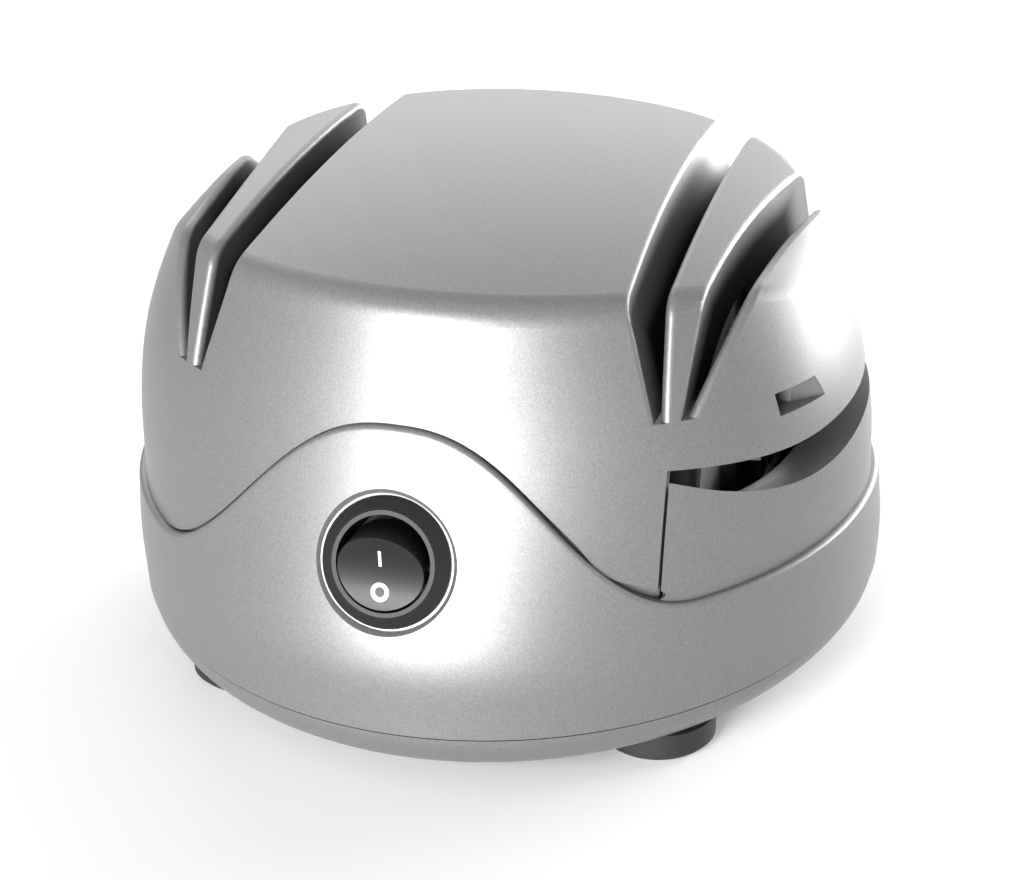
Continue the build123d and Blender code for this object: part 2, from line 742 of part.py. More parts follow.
with BuildPart(Plane((0, shaft_y, deck))) as motor_mount:
    Box(2 * mount_x, 2 * mount_y, mount_thick, align=UP)
    with Locations([(x, y) for x in (-tab_x, tab_x) for y in (-post_y, post_y)]):
        Box(mount_thick, post_thick, shaft_z + post_width / 2 - deck, align=UP)
    with Locations([(x, y) for x in (-pillar_x, pillar_x) for y in (-pillar_y, pillar_y)]):
        Cylinder(motor_screw_radius, 4 * mount_thick, mode=Mode.SUBTRACT)
    with Locations([Location((0, y, shaft_z - deck), (0, 90, 0)) for y in (-post_y, post_y)]):
        Cylinder(motor_screw_radius, 4 * mount_x, mode=Mode.SUBTRACT)
save(motor_mount, "motor_mount")

with BuildPart(Plane.XY.offset(deck - damper_height)) as rubber_mounts:
    with Locations(pillar_places):
        Cylinder(damper_radius, damper_height, align=UP)
        Cylinder(motor_screw_radius, damper_height, align=UP, mode=Mode.SUBTRACT)
save(rubber_mounts, "rubber_mounts")

with BuildPart(Plane.XY.offset(deck + mount_thick)) as mount_screws:
    with Locations(pillar_places):
        Cylinder(motor_screw_radius, mount_screw_length, align=(Align.CENTER, Align.CENTER, Align.MAX))
        Cylinder(motor_screw_head, motor_screw_radius, align=UP)
save(mount_screws, "mount_screws")

# ---- brushes: on both sides of the commutator, their holders against the right bracket's posts -----
brush_x = commutator_x + commutator_length / 2
post_face = post_y - post_thick / 2
holder_side = brush_side + 2 * holder_wall + 2 * run_gap
brush_start = commutator_radius + run_gap
holder_end = post_face - holder_wall
ACROSS = [Plane((brush_x, shaft_y, shaft_z), x_dir=(1, 0, 0), z_dir=(0, side, 0)) for side in (-1, 1)]
with BuildPart() as brush_holders:
    with Locations(*ACROSS):
        with Locations((0, 0, holder_start)):
            Box(holder_side, holder_side, post_face - holder_start, align=UP)
            Box(
                brush_side + 2 * run_gap,
                brush_side + 2 * run_gap,
                holder_end - holder_start,
                align=UP,
                mode=Mode.SUBTRACT,
            )
save(brush_holders, "brush_holders")

with BuildPart() as carbon_brushes:
    with Locations(*ACROSS):
        with Locations((0, 0, brush_start - brush_side / 4)):
            Box(brush_side, brush_side, brush_length, align=UP)
    with Locations(SHAFT):
        Cylinder(brush_start, 2 * bearing_x, mode=Mode.SUBTRACT)
save(carbon_brushes, "carbon_brushes")

spring_start = brush_start - brush_side / 4 + brush_length + spring_wire
with BuildPart() as one_spring:
    with BuildLine() as coil:
        Helix(spring_pitch, holder_end - spring_start - spring_wire, spring_radius)
    with BuildSketch(Plane(coil.line @ 0, z_dir=coil.line % 0)):
        Circle(spring_wire)
    sweep(path=coil.line)
with BuildPart() as brush_springs:
    with Locations(*[plane.offset(spring_start) for plane in ACROSS]):
        add(one_spring.part)
save(brush_springs, "brush_springs")

# ---- motor: everything that turns ------------------------------------------------------------------
plate_in = wheel_x - wheel_width / 2 - hub_flange_thick
plate_out = wheel_x + wheel_width / 2
nut_face = plate_out + washer_thick
shaft_reach = nut_face + nut_thick + shaft_end
with BuildPart(SHAFT) as motor_shaft:
    Cylinder(shaft_radius, 2 * shaft_reach)
    chamfer(edges().filter_by(GeomType.CIRCLE), shaft_radius / 6)
save(motor_shaft, "motor_shaft")

rotor_radius = bore_radius - air_gap
with BuildPart(SHAFT) as rotor_core:
    Cylinder(rotor_radius, core_x)
    Cylinder(shaft_radius, core_x, mode=Mode.SUBTRACT)
    with PolarLocations(rotor_radius, slots):
        Box(2 * slot_depth, slot_width, core_x, mode=Mode.SUBTRACT)
save(rotor_core, "rotor_core")

with BuildPart(SHAFT) as rotor_windings:
    with PolarLocations(rotor_radius - slot_depth + bar_depth / 2, slots):
        Box(bar_depth, slot_width, core_x)
    with Locations((0, 0, core_x / 2), (0, 0, -core_x / 2 - winding_length)):
        Cylinder(winding_radius, winding_length, align=UP)
    Cylinder(shaft_radius, 2 * core_x, mode=Mode.SUBTRACT)
save(rotor_windings, "rotor_windings")

with BuildPart(SHAFT.offset(commutator_x)) as commutator:
    Cylinder(commutator_radius, commutator_length, align=UP)
    Cylinder(shaft_radius, commutator_length, align=UP, mode=Mode.SUBTRACT)
    with PolarLocations(commutator_radius, commutator_bars):
        Box(bar_slit * 2, bar_slit, 4 * commutator_length, mode=Mode.SUBTRACT)
save(commutator, "commutator")

with BuildPart(SHAFT.offset(-fan_x - fan_length)) as cooling_fan:
    Cylinder(housing_radius, fan_length, align=UP)
    with Locations((0, 0, fan_length - fan_plate)):
        Cylinder(fan_radius, fan_plate, align=UP)
    with PolarLocations((fan_radius + housing_radius) / 2 - fan_plate, fan_blades):
        Box(fan_radius - housing_radius + fan_plate, fan_plate, fan_length, align=UP)
    Cylinder(shaft_radius, fan_length, align=UP, mode=Mode.SUBTRACT)
save(cooling_fan, "cooling_fan")

for END, grit, name in zip(ENDS, ("coarse", "fine"), ("left", "right")):
    with BuildPart(END.offset(plate_out - wheel_width)) as wheel:
        Cylinder(wheel_radius, wheel_width, align=UP)
        chamfer(edges().filter_by(GeomType.CIRCLE), wheel_edge)
        Cylinder(spigot_radius, wheel_width, align=UP, mode=Mode.SUBTRACT)
    save(wheel, grit + "_wheel")
    with BuildPart(END.offset(plate_in)) as wheel_hub:
        Cylinder(hub_flange, hub_flange_thick, align=UP)
        Cylinder(spigot_radius, hub_flange_thick + wheel_width, align=UP)
        Cylinder(hub_sleeve, plate_in - hub_start, align=(Align.CENTER, Align.CENTER, Align.MAX))
        Cylinder(shaft_radius, 2 * wheel_x, mode=Mode.SUBTRACT)
    save(wheel_hub, "wheel_hub_" + name)

with BuildPart(*[END.offset(plate_out) for END in ENDS]) as wheel_washers:
    Cylinder(washer_radius, washer_thick, align=UP)
    Cylinder(shaft_radius, washer_thick, align=UP, mode=Mode.SUBTRACT)
save(wheel_washers, "wheel_washers")

with BuildPart() as wheel_nuts:
    with BuildSketch(*[END.offset(nut_face) for END in ENDS]):
        RegularPolygon(nut_across / 2, 6, major_radius=False)
        Circle(shaft_radius, mode=Mode.SUBTRACT)
    extrude(amount=nut_thick)
save(wheel_nuts, "wheel_nuts")

# ---- grit trays under the wheels, standing in the cradles of the base plate ------------------------
for END, name in zip(ENDS, ("left", "right")):
    with BuildPart(END.offset(wheel_x - tray_in)) as grit_tray:
        Cylinder(tray_radius, tray_in + tray_out, align=UP)
        with Locations((0, 0, tray_wall)):
            inside = tray_in + tray_out - 2 * tray_wall
            Cylinder(tray_radius - tray_wall, inside, align=UP, mode=Mode.SUBTRACT)
        split(bisect_by=Plane.XY.offset(shaft_z - tray_drop), keep=Keep.BOTTOM)
    save(grit_tray, "grit_tray_" + name)

# ---- wiring ----------------------------------------------------------------------------------------
with BuildPart(Plane((-capacitor[0] - wire_radius, back_row_y, floor_top))) as suppression_capacitor:
    Box(*capacitor, align=(Align.MIN, Align.MIN, Align.MIN))
    fillet(edges().filter_by(Axis.Z), wire_radius)
save(suppression_capacitor, "suppression_capacitor")

block_x = 4 * wire_radius
with BuildPart(Plane((block_x, back_row_y, floor_top))) as terminal_block:
    Box(*terminals, align=(Align.MIN, Align.MIN, Align.MIN))
    with Locations([(terminals[0] * step / 6, terminals[1] / 2, terminals[2]) for step in (1, 3, 5)]):
        Cylinder(wire_radius, terminals[2], mode=Mode.SUBTRACT)
save(terminal_block, "terminal_block")

wire_y = back_row_y + capacitor[1] / 2
coil_side = shaft_y + coil_outer_y - coil_gap
coil_x = core_x / 2 + coil_end / 2
switch_end = SEAT.origin - switch_normal * (bezel_depth + terminal_length)
block_top = (block_x + terminals[0] / 3, wire_y, floor_top + terminals[2])
capacitor_top = (-capacitor[0] / 2 - wire_radius, wire_y, floor_top + capacitor[2])
routes = [
    [block_top, *COIL_BENDS, (coil_x, coil_side, shaft_z + window_z)],
    [switch_end, switch_end + Vector(switch_bend), *SWITCH_BENDS, capacitor_top],
]
with BuildPart() as internal_wires:
    for route in routes:
        with BuildLine() as path:
            Spline(*route)
        with BuildSketch(Plane(path.line @ 0, z_dir=path.line % 0)):
            Circle(wire_radius)
        sweep(path=path.line)
save(internal_wires, "internal_wires")
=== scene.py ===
import math

import bmesh
import bpy
import numpy as np
from mathutils import Matrix, Vector


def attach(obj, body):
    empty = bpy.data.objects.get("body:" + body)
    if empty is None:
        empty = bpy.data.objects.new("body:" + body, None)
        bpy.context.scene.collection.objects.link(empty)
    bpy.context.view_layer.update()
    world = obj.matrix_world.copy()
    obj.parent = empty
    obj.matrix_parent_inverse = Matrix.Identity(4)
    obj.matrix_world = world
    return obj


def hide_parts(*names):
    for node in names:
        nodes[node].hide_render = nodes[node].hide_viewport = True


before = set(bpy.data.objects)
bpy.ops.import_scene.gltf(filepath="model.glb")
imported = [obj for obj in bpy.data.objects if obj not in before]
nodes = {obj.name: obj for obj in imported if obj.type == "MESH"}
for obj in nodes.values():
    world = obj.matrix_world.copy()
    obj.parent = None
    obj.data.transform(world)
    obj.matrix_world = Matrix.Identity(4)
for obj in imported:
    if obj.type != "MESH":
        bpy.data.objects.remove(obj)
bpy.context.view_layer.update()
scene = bpy.context.scene


# ---- upper housing ---------------------------------------------------------------------------------
# Injection-moulded ABS, sprayed with silver metallic paint. One moulding with two pairs of knife slots
# notched through its top; screwed down from below through four long bosses.

# the casing reaches this far to each side and from its widest line to the front and to the back
half_width = 0.0762
front_reach = 0.0858
back_reach = 0.0665
widest_y = (front_reach - back_reach) / 2
# the upper housing stands this far inside the lower one
ledge = 0.0014
# in millimetres: height, then how far side, front and back stand in, and how far the widest line moves
# forward
levels = np.array([
    (16.0, 0.3, 0.3, 0.5, -2.0),
    (22.0, 0.0, 0.1, 0.15, -1.5),
    (27.0, 0.0, 0.0, 0.0, -0.4),
    (39.0, 0.8, 2.4, 1.0, 3.0),
    (50.0, 1.0, 5.8, 2.7, 6.4),
    (60.0, 2.1, 8.8, 6.2, 9.1),
    (72.0, 4.9, 12.2, 10.7, 10.4),
    (84.0, 9.3, 15.6, 15.7, 8.7),
    (92.0, 12.4, 17.4, 19.7, 7.7),
    (104.0, 17.1, 20.5, 27.0, 6.3),
]) / 1000
side_column, front_column, back_column, shift_column = 1, 2, 3, 4
# every inset and shift in the table lies between these two
least_inset, most_inset = -0.002, 0.028
# the arched top over the slots is a parabola: its highest point, where that lies, and its fall one metre away
arch_top = 0.0965
arch_y = 0.01965
arch_bow = 1.6
# depths inside the moulding between which the spray thins out to bare ABS; that ABS is drawn near black,
# which paints in the shade deep in the slots and holes
slot_spray_and_shade = (0.0025, 0.009)


def srgb(code):
    """Linear colour from an sRGB hex code such as "#a0a0a0"."""
    values = [int(code[place:place + 2], 16) / 255 for place in (1, 3, 5)]
    return [v / 12.92 if v <= 0.04045 else ((v + 0.055) / 1.055) ** 2.4 for v in values] + [1.0]


def node(tree, kind, inputs=(), **settings):
    """Adds a shader node with its settings. The inputs come in order, or by name or number, and each one is
    a value, an output to link, or a node whose first output is linked."""
    made = tree.nodes.new("ShaderNode" + kind)
    for setting, value in settings.items():
        setattr(made, setting, value)
    for place, value in inputs.items() if isinstance(inputs, dict) else enumerate(inputs):
        source = value.outputs[0] if isinstance(value, bpy.types.Node) else value
        if isinstance(source, bpy.types.NodeSocket):
            tree.links.new(made.inputs[place], source)
        else:
            made.inputs[place].default_value = source
    return made


def surface(name, colour, metallic=0.0, roughness=0.5, specular=0.5):
    """A material of one plain finish; its Principled shader is there for more to be linked to."""
    material = bpy.data.materials.new(name)
    material.use_nodes = True
    shader = material.node_tree.nodes["Principled BSDF"]
    shader.inputs["Base Color"].default_value = srgb(colour)
    shader.inputs["Metallic"].default_value = metallic
    shader.inputs["Roughness"].default_value = roughness
    shader.inputs["Specular IOR Level"].default_value = specular
    return material


def finish_with(material, *names):
    """Gives CAD nodes one material."""
    for name in names:
        mesh = nodes[name].data
        mesh.materials.clear()
        mesh.materials.append(material)


def level_value(tree, height, column):
    """One column of the levels table read at a height: a curve node over the table's full height, whose 0 to
    1 stands for the least to the most inset."""
    table_top, span = levels[-1, 0], most_inset - least_inset
    spots = [(row[0] / table_top, (row[column] - least_inset) / span) for row in levels]
    curve = node(tree, "FloatCurve", {"Value": node(tree, "Math", (height, table_top), operation="DIVIDE")})
    line = curve.mapping.curves[0]
    line.points[0].location = spots[0]
    line.points[1].location = spots[-1]
    for spot in spots[1:-1]:
        line.points.new(*spot)
    curve.mapping.update()
    return node(tree, "Math", (curve, span, least_inset), operation="MULTIPLY_ADD")


def depth_inside(tree, place):
    """How deep a point lies under the upper housing's outer skin: the smaller of its depths inside the plan
    contour at its height and under the arched top. The contour is half an ellipse before the widest line and
    half behind it, so 1 less the length of (x / across, y / reach), times across, is the depth in it."""
    spot = node(tree, "SeparateXYZ", (place,)).outputs
    side = level_value(tree, spot["Z"], side_column)
    front = level_value(tree, spot["Z"], front_column)
    back = level_value(tree, spot["Z"], back_column)
    shift = level_value(tree, spot["Z"], shift_column)
    from_widest = node(tree, "Math", (spot["Y"], widest_y), operation="SUBTRACT")
    along = node(tree, "Math", (from_widest, shift), operation="ADD")
    to_back = node(tree, "Math", (shift, back_reach - ledge), operation="ADD")
    reach_behind = node(tree, "Math", (to_back, back), operation="SUBTRACT")
    taken_ahead = node(tree, "Math", (shift, front), operation="ADD")
    reach_ahead = node(tree, "Math", (front_reach - ledge, taken_ahead), operation="SUBTRACT")
    is_behind = node(tree, "Math", (along, 0.0), operation="GREATER_THAN")
    more_behind = node(tree, "Math", (reach_behind, reach_ahead), operation="SUBTRACT")
    reach = node(tree, "Math", (more_behind, is_behind, reach_ahead), operation="MULTIPLY_ADD")
    across = node(tree, "Math", (half_width - ledge, side), operation="SUBTRACT")
    sideways = node(tree, "Math", (spot["X"], across), operation="DIVIDE")
    lengthwise = node(tree, "Math", (along, reach), operation="DIVIDE")
    way_out = node(tree, "CombineXYZ", (sideways, lengthwise))
    share = node(tree, "VectorMath", (way_out,), operation="LENGTH").outputs["Value"]
    share_left = node(tree, "Math", (1.0, share), operation="SUBTRACT")
    under_side = node(tree, "Math", (share_left, across), operation="MULTIPLY")
    from_crest = node(tree, "Math", (spot["Y"], arch_y), operation="SUBTRACT")
    squared = node(tree, "Math", (from_crest, from_crest), operation="MULTIPLY")
    arch = node(tree, "Math", (squared, -arch_bow, arch_top), operation="MULTIPLY_ADD")
    under_arch = node(tree, "Math", (arch, spot["Z"]), operation="SUBTRACT")
    return node(tree, "Math", (under_side, under_arch), operation="MINIMUM")


def silver_paint_with_deep_shade(name, measure, bare_and_shade_between):
    """Silver metallic paint, aluminium flakes in clear lacquer: satin with a fine sparkle. Where the measure
    passes from the first to the second of its two given values, it gives way to near-black matt ABS: bare
    where the spray thins out, and darkened as painted shade for the deep places."""
    painted = {"Metallic": 0.55, "Roughness": 0.42, "Specular IOR Level": 0.4}
    bare_and_shade = {"Metallic": 0.0, "Roughness": 0.62, "Specular IOR Level": 0.05}
    bare_and_shade_colour = "#101010"
    flake_shades = ((0.3, "#666667"), (0.7, "#727273"))
    # real flakes are 0.02 mm and lie nearly flat; they are drawn at 0.35 mm so that the sparkle shows
    flake_size = 0.00035
    flake_height = 0.0001
    material = surface(name, "#6c6c6d", painted["Metallic"], painted["Roughness"])
    tree = material.node_tree
    shader = tree.nodes["Principled BSDF"]
    place = node(tree, "TexCoord").outputs["Object"]
    start, end = bare_and_shade_between
    bare_and_shade_share = node(
        tree, "MapRange", {"Value": measure(tree, place), "From Min": start, "From Max": end},
        interpolation_type="SMOOTHSTEP",
    )
    flakes = node(tree, "TexNoise", {"Vector": place, "Scale": 1 / flake_size, "Detail": 1.0})
    tint = node(tree, "ValToRGB", {"Fac": flakes})
    for element, (position, shade) in zip(tint.color_ramp.elements, flake_shades):
        element.position = position
        element.color = srgb(shade)
    # the mix node's inputs 6 and 7 and its output 2 are its colours
    # near black where the measure is deep: bare ABS, darkened to paint the shade in slots and holes
    coat_or_shade = node(tree, "Mix", {"Factor": bare_and_shade_share, 6: tint, 7: srgb(bare_and_shade_colour)}, data_type="RGBA")
    tree.links.new(shader.inputs["Base Color"], coat_or_shade.outputs[2])
    for socket, value in painted.items():
        mixed = node(tree, "Math", (bare_and_shade_share, bare_and_shade[socket] - value, value), operation="MULTIPLY_ADD")
        tree.links.new(shader.inputs[socket], mixed.outputs[0])
    tilt = node(tree, "Bump", {"Height": flakes, "Strength": 0.1, "Distance": flake_height})
    tree.links.new(shader.inputs["Normal"], tilt.outputs["Normal"])
    return material


# deep in the slots and holes this paint turns near black: painted shade
silver_paint = silver_paint_with_deep_shade("silver_metallic_paint", depth_inside, slot_spray_and_shade)
finish_with(silver_paint, "upper_housing")


# ---- lower housing ---------------------------------------------------------------------------------
# The same painted ABS. Its top edge follows a wave round the upper housing and stands out as a rounded
# ledge; a flat round seat for the switch is cut into its front, with a hole for the switch body. The bore
# for the cord is not cut here: the grommet's flange stands out of a closed wall.
wall = 0.0024
ledge_round = 0.0009
lower_start = levels[0, 0]
# the seam between the housings: its height round the sides, how far it climbs over the switch, half the
# width of that climb, and its crest (1 for a plain cosine, more for a broader top)
side_seam = 0.038
seam_rise = 0.033
seam_half = 0.053
seam_crest = 1.25
crease_angle = math.radians(35)
# rows and columns of the shell's mesh
turn_count = 600
wall_rows = 40
inner_row_step = 3
round_rows = 8
# passes in which heights and distances that depend on each other settle
seam_passes = 6
seat_passes = 5


def smooth_through(knots, values, at):
    """Natural cubic spline: curvatures at the knots from one tridiagonal system, then each span's cubic."""
    gap = np.diff(knots)
    system = np.diag(np.r_[1.0, 2 * (gap[:-1] + gap[1:]), 1.0])
    system[np.arange(1, len(gap)), np.arange(0, len(gap) - 1)] = gap[:-1]
    system[np.arange(1, len(gap)), np.arange(2, len(gap) + 1)] = gap[1:]
    bend = np.linalg.solve(system, np.r_[0.0, 6 * np.diff(np.diff(values) / gap), 0.0])
    span = np.clip(np.searchsorted(knots, at) - 1, 0, len(gap) - 1)
    after, before = at - knots[span], knots[span + 1] - at
    cubic = (bend[span] * before**3 + bend[span + 1] * after**3) / (6 * gap[span])
    start = values[span] / gap[span] - bend[span] * gap[span] / 6
    end = values[span + 1] / gap[span] - bend[span + 1] * gap[span] / 6
    return cubic + start * before + end * after


def insets_at(height):
    """How far side, front and back stand in at a height, and how far the widest line has moved forward."""
    columns = (side_column, front_column, back_column, shift_column)
    return [smooth_through(levels[:, 0], levels[:, column], height) for column in columns]


def casing(turn, height, inset):
    """Plan contour at a height: half an ellipse in front of the widest line and half behind it, moved in."""
    side, front, back, shift = insets_at(height)
    reach = np.where(np.cos(turn) > 0, back_reach - back + shift, front_reach - front - shift) - inset
    across = (half_width - side - inset) * np.sin(turn)
    return across, widest_y - shift + reach * np.cos(turn)


def seam_height(x, y):
    """The joint between the housings: level round the sides, one broad cosine wave over the front."""
    wave = seam_rise * (1 - ((1 - np.cos(np.pi * x / seam_half)) / 2) ** seam_crest)
    return side_seam + np.where((np.abs(x) < seam_half) & (y < 0), wave, 0.0)


def grid_piece(name, x, y, z, close_rows=False):
    """Mesh object from arrays of rows and columns of points. Each row closes on itself, and with close_rows
    the last row joins the first."""
    rows, columns = x.shape
    row, column = np.meshgrid(np.arange(rows - (not close_rows)), np.arange(columns), indexing="ij")
    below, beside = (row + 1) % rows, (column + 1) % columns
    corners = [(row, column), (row, beside), (below, beside), (below, column)]
    faces = np.stack([line * columns + place for line, place in corners], -1).reshape(-1, 4)
    mesh = bpy.data.meshes.new(name)
    mesh.from_pydata(np.stack([x, y, z], -1).reshape(-1, 3).tolist(), [], faces.tolist())
    mesh.validate()
    piece = bpy.data.objects.new(name, mesh)
    scene.collection.objects.link(piece)
    return piece


def point_outwards(piece, weld=None):
    """Turns every face of a closed mesh outwards, after merging points closer than weld."""
    work = bmesh.new()
    work.from_mesh(piece.data)
    if weld:
        bmesh.ops.remove_doubles(work, verts=work.verts, dist=weld)
    bmesh.ops.recalc_face_normals(work, faces=work.faces)
    work.to_mesh(piece.data)
    work.free()


def cut(piece, cutter):
    """Takes the cutter's room out of a piece for good."""
    modifier = piece.modifiers.new("cut", "BOOLEAN")
    modifier.object = cutter
    modifier.solver = "EXACT"
    done = bpy.data.meshes.new_from_object(piece.evaluated_get(bpy.context.evaluated_depsgraph_get()))
    piece.modifiers.clear()
    piece.data = done
    bpy.data.objects.remove(cutter)


turn = np.linspace(0, 2 * np.pi, turn_count, endpoint=False)
# the seam's height depends on the contour and the contour on the height
top = np.full_like(turn, side_seam)
for _ in range(seam_passes):
    top = seam_height(*casing(turn, top, 0.0))
# up the outside, over the rounded ledge, in along the top, and down the inside
arc = np.radians(np.linspace(0, 90, round_rows))[:, None]
up = np.linspace(0, 1, wall_rows)[:, None]
down = 1 - up[1::inner_row_step]
heights = np.vstack([
    lower_start + (top - ledge_round - lower_start) * up,
    top - ledge_round + ledge_round * np.sin(arc),
    np.repeat(top[None], 2, axis=0),
    lower_start + (top - lower_start) * down,
])
insets = np.vstack([
    np.zeros_like(up), ledge_round * (1 - np.cos(arc)), [[ledge]], [[wall]], np.full_like(down, wall)
])
x, y = casing(turn, heights, insets)
lower_shell = grid_piece("lower_shell", x, y, heights, close_rows=True)
point_outwards(lower_shell)

# the seat is square to the wall, which leans back here; its hole takes the switch body
seat_tilt = math.radians(18)
seat_depth = 0.0015
seat_radius = 0.0124
seat_bevel = 0.0008
hole_radius = 0.0100
hole_depth = 0.006
cutter_top = 0.012
cutter_turns = 128
cutter_weld = 1e-7
seat_out = np.array([0.0, -math.cos(seat_tilt), math.sin(seat_tilt)])
seat_up = np.array([0.0, math.sin(seat_tilt), math.cos(seat_tilt)])
wall_at_seat = np.array([0.0, -0.07103, 0.0478])
seat_middle = wall_at_seat - seat_depth * seat_out


def wall_over_seat(x, up):
    """How far the wall stands out over the seat's plane at x across and up along it: steps to the contour
    along the seat's normal, each from the height that the last one reached."""
    out = np.full_like(x, seat_depth)
    for _ in range(seat_passes):
        height = seat_middle[2] + up * seat_up[2] + out * seat_out[2]
        side, front, _, shift = insets_at(height)
        reach = (front_reach - front - shift) * np.sqrt(1 - (x / (half_width - side)) ** 2)
        out = (widest_y - shift - reach - seat_middle[1] - up * seat_up[1]) / seat_out[1]
    return out


# Profile of the cutter from the middle of its floor to the middle of its lid: radius, height over the seat,
# and 1 where that height is over the curved wall instead. The mouth opens at 45 degrees along the wall.
flare = 4 * seat_bevel
seat_profile = np.array([
    (0.0, -hole_depth, 0),
    (hole_radius, -hole_depth, 0),
    (hole_radius, 0.0, 0),
    (seat_radius, 0.0, 0),
    (seat_radius, -seat_bevel, 1),
    (seat_radius + flare, flare - seat_bevel, 1),
    (seat_radius + flare, cutter_top, 0),
    (0.0, cutter_top, 0),
])
radius, height, over_wall = seat_profile.T[:, :, None]
seat_turn = np.linspace(0, 2 * np.pi, cutter_turns, endpoint=False)
mouth = wall_over_seat(seat_radius * np.cos(seat_turn), seat_radius * np.sin(seat_turn))
around = np.stack([radius * np.cos(seat_turn), radius * np.sin(seat_turn), height + over_wall * mouth])
seat_axes = np.stack([[1.0, 0.0, 0.0], seat_up, seat_out])
spots = seat_middle[:, None, None] + np.einsum("ij,jkl->ikl", seat_axes.T, around)
seat_cutter = grid_piece("seat_cutter", *spots)
point_outwards(seat_cutter, cutter_weld)
cut(lower_shell, seat_cutter)
lower_shell.data.shade_smooth()
lower_shell.data.set_sharp_from_angle(angle=crease_angle)
# its inner side turns near black like the slots: bare ABS drawn dark as painted shade
lower_shell.data.materials.append(silver_paint)
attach(lower_shell, "casing")
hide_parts("lower_housing")


# ---- scissors guide panel --------------------------------------------------------------------------
# Painted ABS insert that closes the right flank. Its top edge is the funnel of the scissors slot, and the
# spray reaches nearly to the inner end of that funnel; past it the surface is drawn near black as painted
# shade.
funnel_spray_and_shade = (0.008, 0.014)
# the deep end of the funnel turns near black: painted shade
finish_with(
    silver_paint_with_deep_shade("silver_metallic_paint_panel", depth_inside, funnel_spray_and_shade), "scissors_guide_panel"
)


# ---- base plate ------------------------------------------------------------------------------------
# ABS moulding with vents, pillars and screw towers, screwed up into the housing. It is sprayed from outside
# with the housing, so nothing above its rim has paint; that part is drawn near black, which also paints the
# shade in the seam to the lower housing.
# above this height the plate is near black: bare ABS and painted shade in the seam
rim_spray_and_shade = (0.0157, 0.0158)


def height_of(tree, place):
    """A point's height over the table."""
    return node(tree, "SeparateXYZ", (place,)).outputs["Z"]


finish_with(silver_paint_with_deep_shade("silver_metallic_paint_low", height_of, rim_spray_and_shade), "base_plate")


# ---- feet, grommet and dampers ---------------------------------------------------------------------
# Black rubber, moulded: matt, with no clear highlight. Each foot is pulled through the base plate by its
# stem, the grommet sits in the back of the lower housing, and the dampers carry the motor mount.
feet = [name for name in nodes if name.startswith("rubber_foot")]
finish_with(surface("black_rubber", "#0c0c0c", roughness=0.7), "cord_grommet", "rubber_mounts", *feet)


# ---- rocker switch ---------------------------------------------------------------------------------
# Snap-in mains switch: satin black nylon body, smoother black nylon rocker with a pad print, bright brass
# blades behind.
black_nylon = surface("black_nylon", "#0a0a0b", roughness=0.5, specular=0.3)
brass_blade = surface("brass_blade", "#c9a45a", metallic=1.0, roughness=0.3)
finish_with(black_nylon, "switch_body")
finish_with(brass_blade, "switch_terminals")

# white pad print on the rocker: heights of the bar's and the ring's middle, half the bar's width and length,
# the ring's radius and half its line width; it lies only in front of print_front
rocker_black = "#0e0e0f"
print_white = "#b4b4b2"
bar_middle = 0.04982
bar_half = 0.00028
bar_reach = 0.0016
ring_middle = 0.04343
ring_radius = 0.0013
ring_half = 0.0004
print_front = -0.0722


def bar_and_ring(tree):
    """1 on the printed bar and ring and 0 beside them: the bar is a rectangle, and the ring is where the
    distance from its middle is near its radius."""
    spot = node(tree, "SeparateXYZ", (node(tree, "TexCoord").outputs["Object"],)).outputs
    across = node(tree, "Math", (spot["X"],), operation="ABSOLUTE")
    from_bar = node(tree, "Math", (spot["Z"], bar_middle), operation="SUBTRACT")
    upright = node(tree, "Math", (from_bar,), operation="ABSOLUTE")
    in_width = node(tree, "Math", (across, bar_half), operation="LESS_THAN")
    in_length = node(tree, "Math", (upright, bar_reach), operation="LESS_THAN")
    bar = node(tree, "Math", (in_width, in_length), operation="MULTIPLY")
    from_ring = node(tree, "Math", (spot["Z"], ring_middle), operation="SUBTRACT")
    way_out = node(tree, "CombineXYZ", (across, from_ring))
    distance = node(tree, "VectorMath", (way_out,), operation="LENGTH").outputs["Value"]
    from_line = node(tree, "Math", (distance, ring_radius), operation="SUBTRACT")
    off_line = node(tree, "Math", (from_line,), operation="ABSOLUTE")
    ring = node(tree, "Math", (off_line, ring_half), operation="LESS_THAN")
    marks = node(tree, "Math", (bar, ring), operation="MAXIMUM")
    on_face = node(tree, "Math", (spot["Y"], print_front), operation="LESS_THAN")
    return node(tree, "Math", (marks, on_face), operation="MULTIPLY")


black_polish = surface("black_polished_nylon", rocker_black, roughness=0.4, specular=0.3)
rocker_tree = black_polish.node_tree
pad_print = node(
    rocker_tree, "Mix", {"Factor": bar_and_ring(rocker_tree), 6: srgb(rocker_black), 7: srgb(print_white)},
    data_type="RGBA",
)
rocker_tree.links.new(rocker_tree.nodes["Principled BSDF"].inputs["Base Color"], pad_print.outputs[2])
finish_with(black_polish, "switch_rocker")


